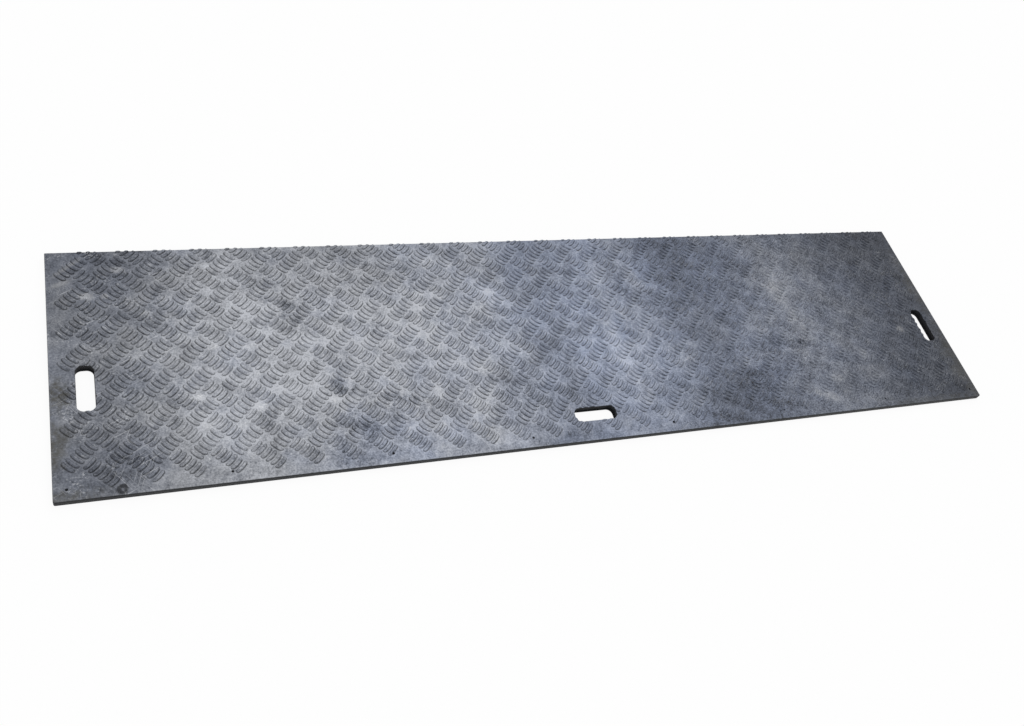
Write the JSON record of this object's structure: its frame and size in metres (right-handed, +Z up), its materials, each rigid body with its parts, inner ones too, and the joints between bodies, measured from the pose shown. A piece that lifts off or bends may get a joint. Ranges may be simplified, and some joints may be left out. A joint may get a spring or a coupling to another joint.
{
  "type": "ground protection mat",
  "caption": "Long flat plastic ground mat with a raised basket-weave bar tread, slotted hand holes and a row of small pin holes.",
  "frame": {"origin": "centre of the flat underside", "axes": "+X along the length away from the end nearer to the middle hand hole, +Y across the width towards the sawn edge, +Z up out of the tread"},
  "size_m": [2.438, 0.625, 0.018],
  "materials": {
    "black_polyethylene": "dull black recycled polyethylene under grey dust, with scuffs and brown dirt at the left end"
  },
  "bodies": {
    "root": {"mat": "black_polyethylene"}
  },
  "joints": []
}
